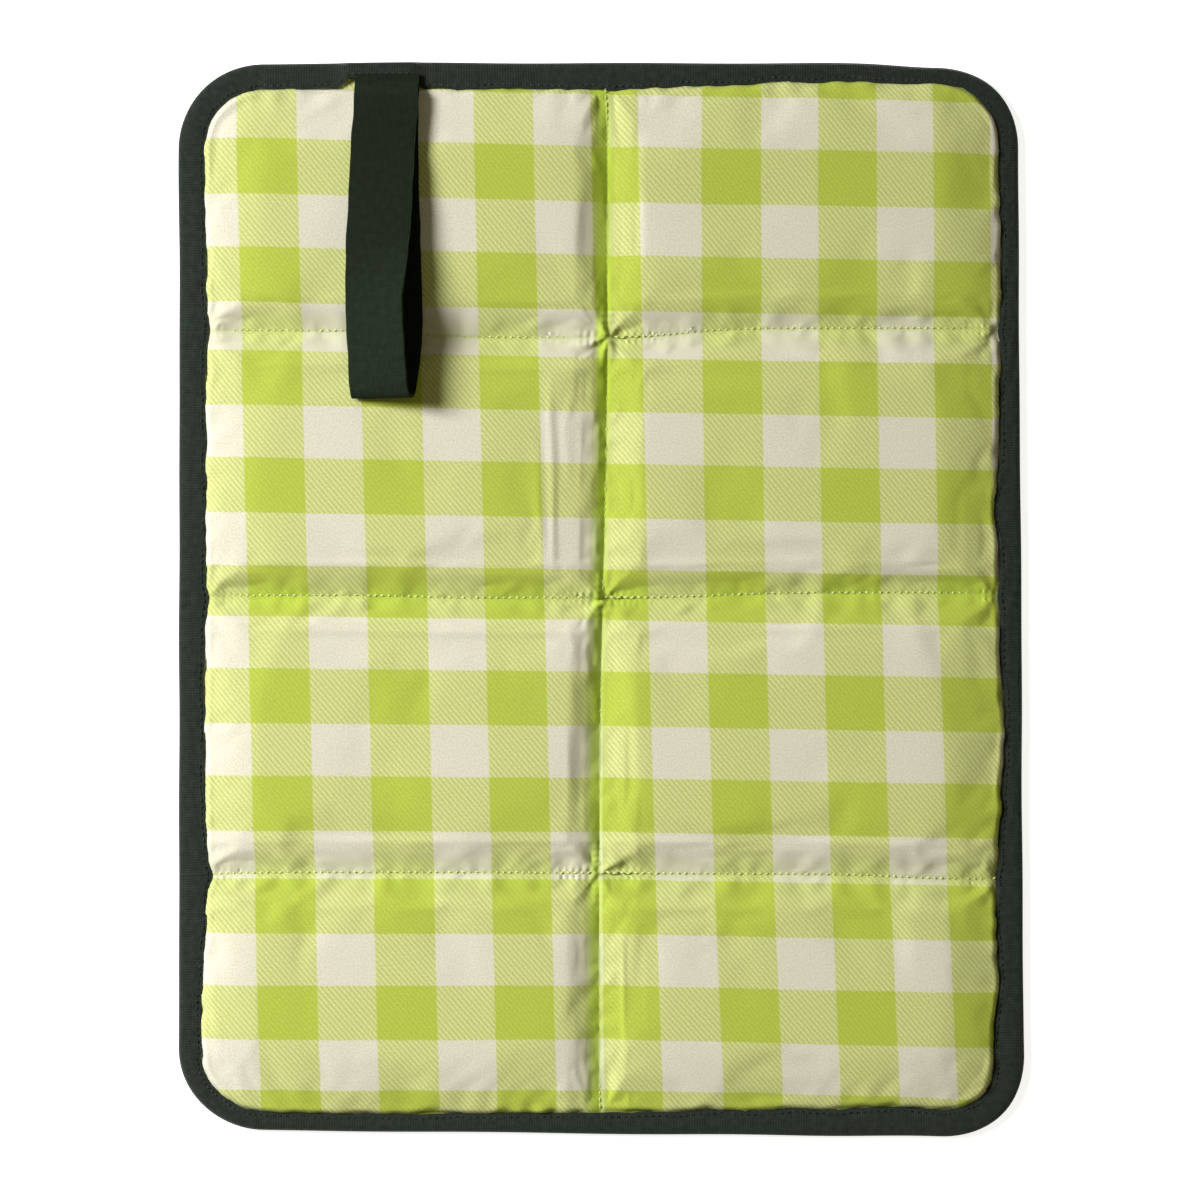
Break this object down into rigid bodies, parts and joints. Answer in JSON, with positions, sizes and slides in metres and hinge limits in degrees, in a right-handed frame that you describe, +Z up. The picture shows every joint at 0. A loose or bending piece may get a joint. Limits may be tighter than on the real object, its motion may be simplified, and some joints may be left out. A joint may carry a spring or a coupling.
{
  "type": "folding kneeling pad",
  "caption": "Folding foam kneeling pad with a quilted checked cover, taped edge and an elastic strap loop that holds it shut when folded.",
  "frame": {"origin": "middle of the open pad's outline, on the floor under it", "axes": "+X across the pad from the column with the strap to the other column; +Y along the pad to the end where the strap is sewn; +Z up out of the checked cover"},
  "size_m": [0.3, 0.38, 0.0186],
  "materials": {
    "checked_cloth": "woven check, matt",
    "underside_cloth": "plain coated cloth, matt",
    "foam": "closed-cell foam",
    "edge_tape": "ribbed binding tape, matt",
    "strap_elastic": "woven elastic, matt",
    "light_thread": "sewing thread",
    "dark_thread": "sewing thread"
  },
  "bodies": {
    "row1_left": {"top_cover_row1_left": "checked_cloth", "underside_cover_row1_left": "underside_cloth", "foam_pad_row1_left": "foam", "edge_tape_row1_left": "edge_tape", "tape_stitching_row1_left": "dark_thread", "centre_seam_stitching_row1_left": "light_thread", "row_seam_stitching_row1_left": "light_thread", "strap_sewn_end": "strap_elastic"},
    "row1_right": {"top_cover_row1_right": "checked_cloth", "underside_cover_row1_right": "underside_cloth", "foam_pad_row1_right": "foam", "edge_tape_row1_right": "edge_tape", "tape_stitching_row1_right": "dark_thread", "row_seam_stitching_row1_right": "light_thread"},
    "row2_left": {"top_cover_row2_left": "checked_cloth", "underside_cover_row2_left": "underside_cloth", "foam_pad_row2_left": "foam", "edge_tape_row2_left": "edge_tape", "tape_stitching_row2_left": "dark_thread", "centre_seam_stitching_row2_left": "light_thread", "row_seam_stitching_row2_left": "light_thread"},
    "row2_right": {"top_cover_row2_right": "checked_cloth", "underside_cover_row2_right": "underside_cloth", "foam_pad_row2_right": "foam", "edge_tape_row2_right": "edge_tape", "tape_stitching_row2_right": "dark_thread", "row_seam_stitching_row2_right": "light_thread"},
    "row3_left": {"top_cover_row3_left": "checked_cloth", "underside_cover_row3_left": "underside_cloth", "foam_pad_row3_left": "foam", "edge_tape_row3_left": "edge_tape", "tape_stitching_row3_left": "dark_thread", "centre_seam_stitching_row3_left": "light_thread", "row_seam_stitching_row3_left": "light_thread"},
    "row3_right": {"top_cover_row3_right": "checked_cloth", "underside_cover_row3_right": "underside_cloth", "foam_pad_row3_right": "foam", "edge_tape_row3_right": "edge_tape", "tape_stitching_row3_right": "dark_thread", "row_seam_stitching_row3_right": "light_thread"},
    "row4_left": {"top_cover_row4_left": "checked_cloth", "underside_cover_row4_left": "underside_cloth", "foam_pad_row4_left": "foam", "edge_tape_row4_left": "edge_tape", "tape_stitching_row4_left": "dark_thread", "centre_seam_stitching_row4_left": "light_thread"},
    "row4_right": {"top_cover_row4_right": "checked_cloth", "underside_cover_row4_right": "underside_cloth", "foam_pad_row4_right": "foam", "edge_tape_row4_right": "edge_tape", "tape_stitching_row4_right": "dark_thread"},
    "strap": {"strap_loop": "strap_elastic"}
  },
  "joints": [
    {"name": "centre_fold_row1", "type": "hinge", "parent": "row1_left", "child": "row1_right", "pos_m": [0, 0, -0.0002], "axis": [0, 1, 0], "range_deg": [0, 180]},
    {"name": "centre_fold_row2", "type": "hinge", "parent": "row2_left", "child": "row2_right", "pos_m": [0, 0, -0.0002], "axis": [0, 1, 0], "range_deg": [0, 180]},
    {"name": "centre_fold_row3", "type": "hinge", "parent": "row3_left", "child": "row3_right", "pos_m": [0, 0, -0.0002], "axis": [0, 1, 0], "range_deg": [0, 180]},
    {"name": "centre_fold_row4", "type": "hinge", "parent": "row4_left", "child": "row4_right", "pos_m": [0, 0, -0.0002], "axis": [0, 1, 0], "range_deg": [0, 180]},
    {"name": "row_fold_1", "type": "hinge", "parent": "row1_left", "child": "row2_left", "pos_m": [0, 0.095, -0.0086], "axis": [1, 0, 0], "range_deg": [0, 180]},
    {"name": "row_fold_2", "type": "hinge", "parent": "row2_left", "child": "row3_left", "pos_m": [0, 0, 0.0082], "axis": [-1, 0, 0], "range_deg": [0, 180]},
    {"name": "row_fold_3", "type": "hinge", "parent": "row3_left", "child": "row4_left", "pos_m": [0, -0.098, -0.0086], "axis": [1, 0, 0], "range_deg": [0, 180]},
    {"name": "strap_flip", "type": "hinge", "parent": "row1_left", "child": "strap", "pos_m": [-0.07825, 0.184, 0.0053], "axis": [-1, 0, 0], "range_deg": [0, 120]}
  ],
  "couplings": [
    {"joint": "centre_fold_row2", "follows": "centre_fold_row1", "ratio": 1},
    {"joint": "centre_fold_row3", "follows": "centre_fold_row1", "ratio": 1},
    {"joint": "centre_fold_row4", "follows": "centre_fold_row1", "ratio": 1},
    {"joint": "row_fold_2", "follows": "row_fold_1", "ratio": 1},
    {"joint": "row_fold_3", "follows": "row_fold_1", "ratio": 1}
  ]
}
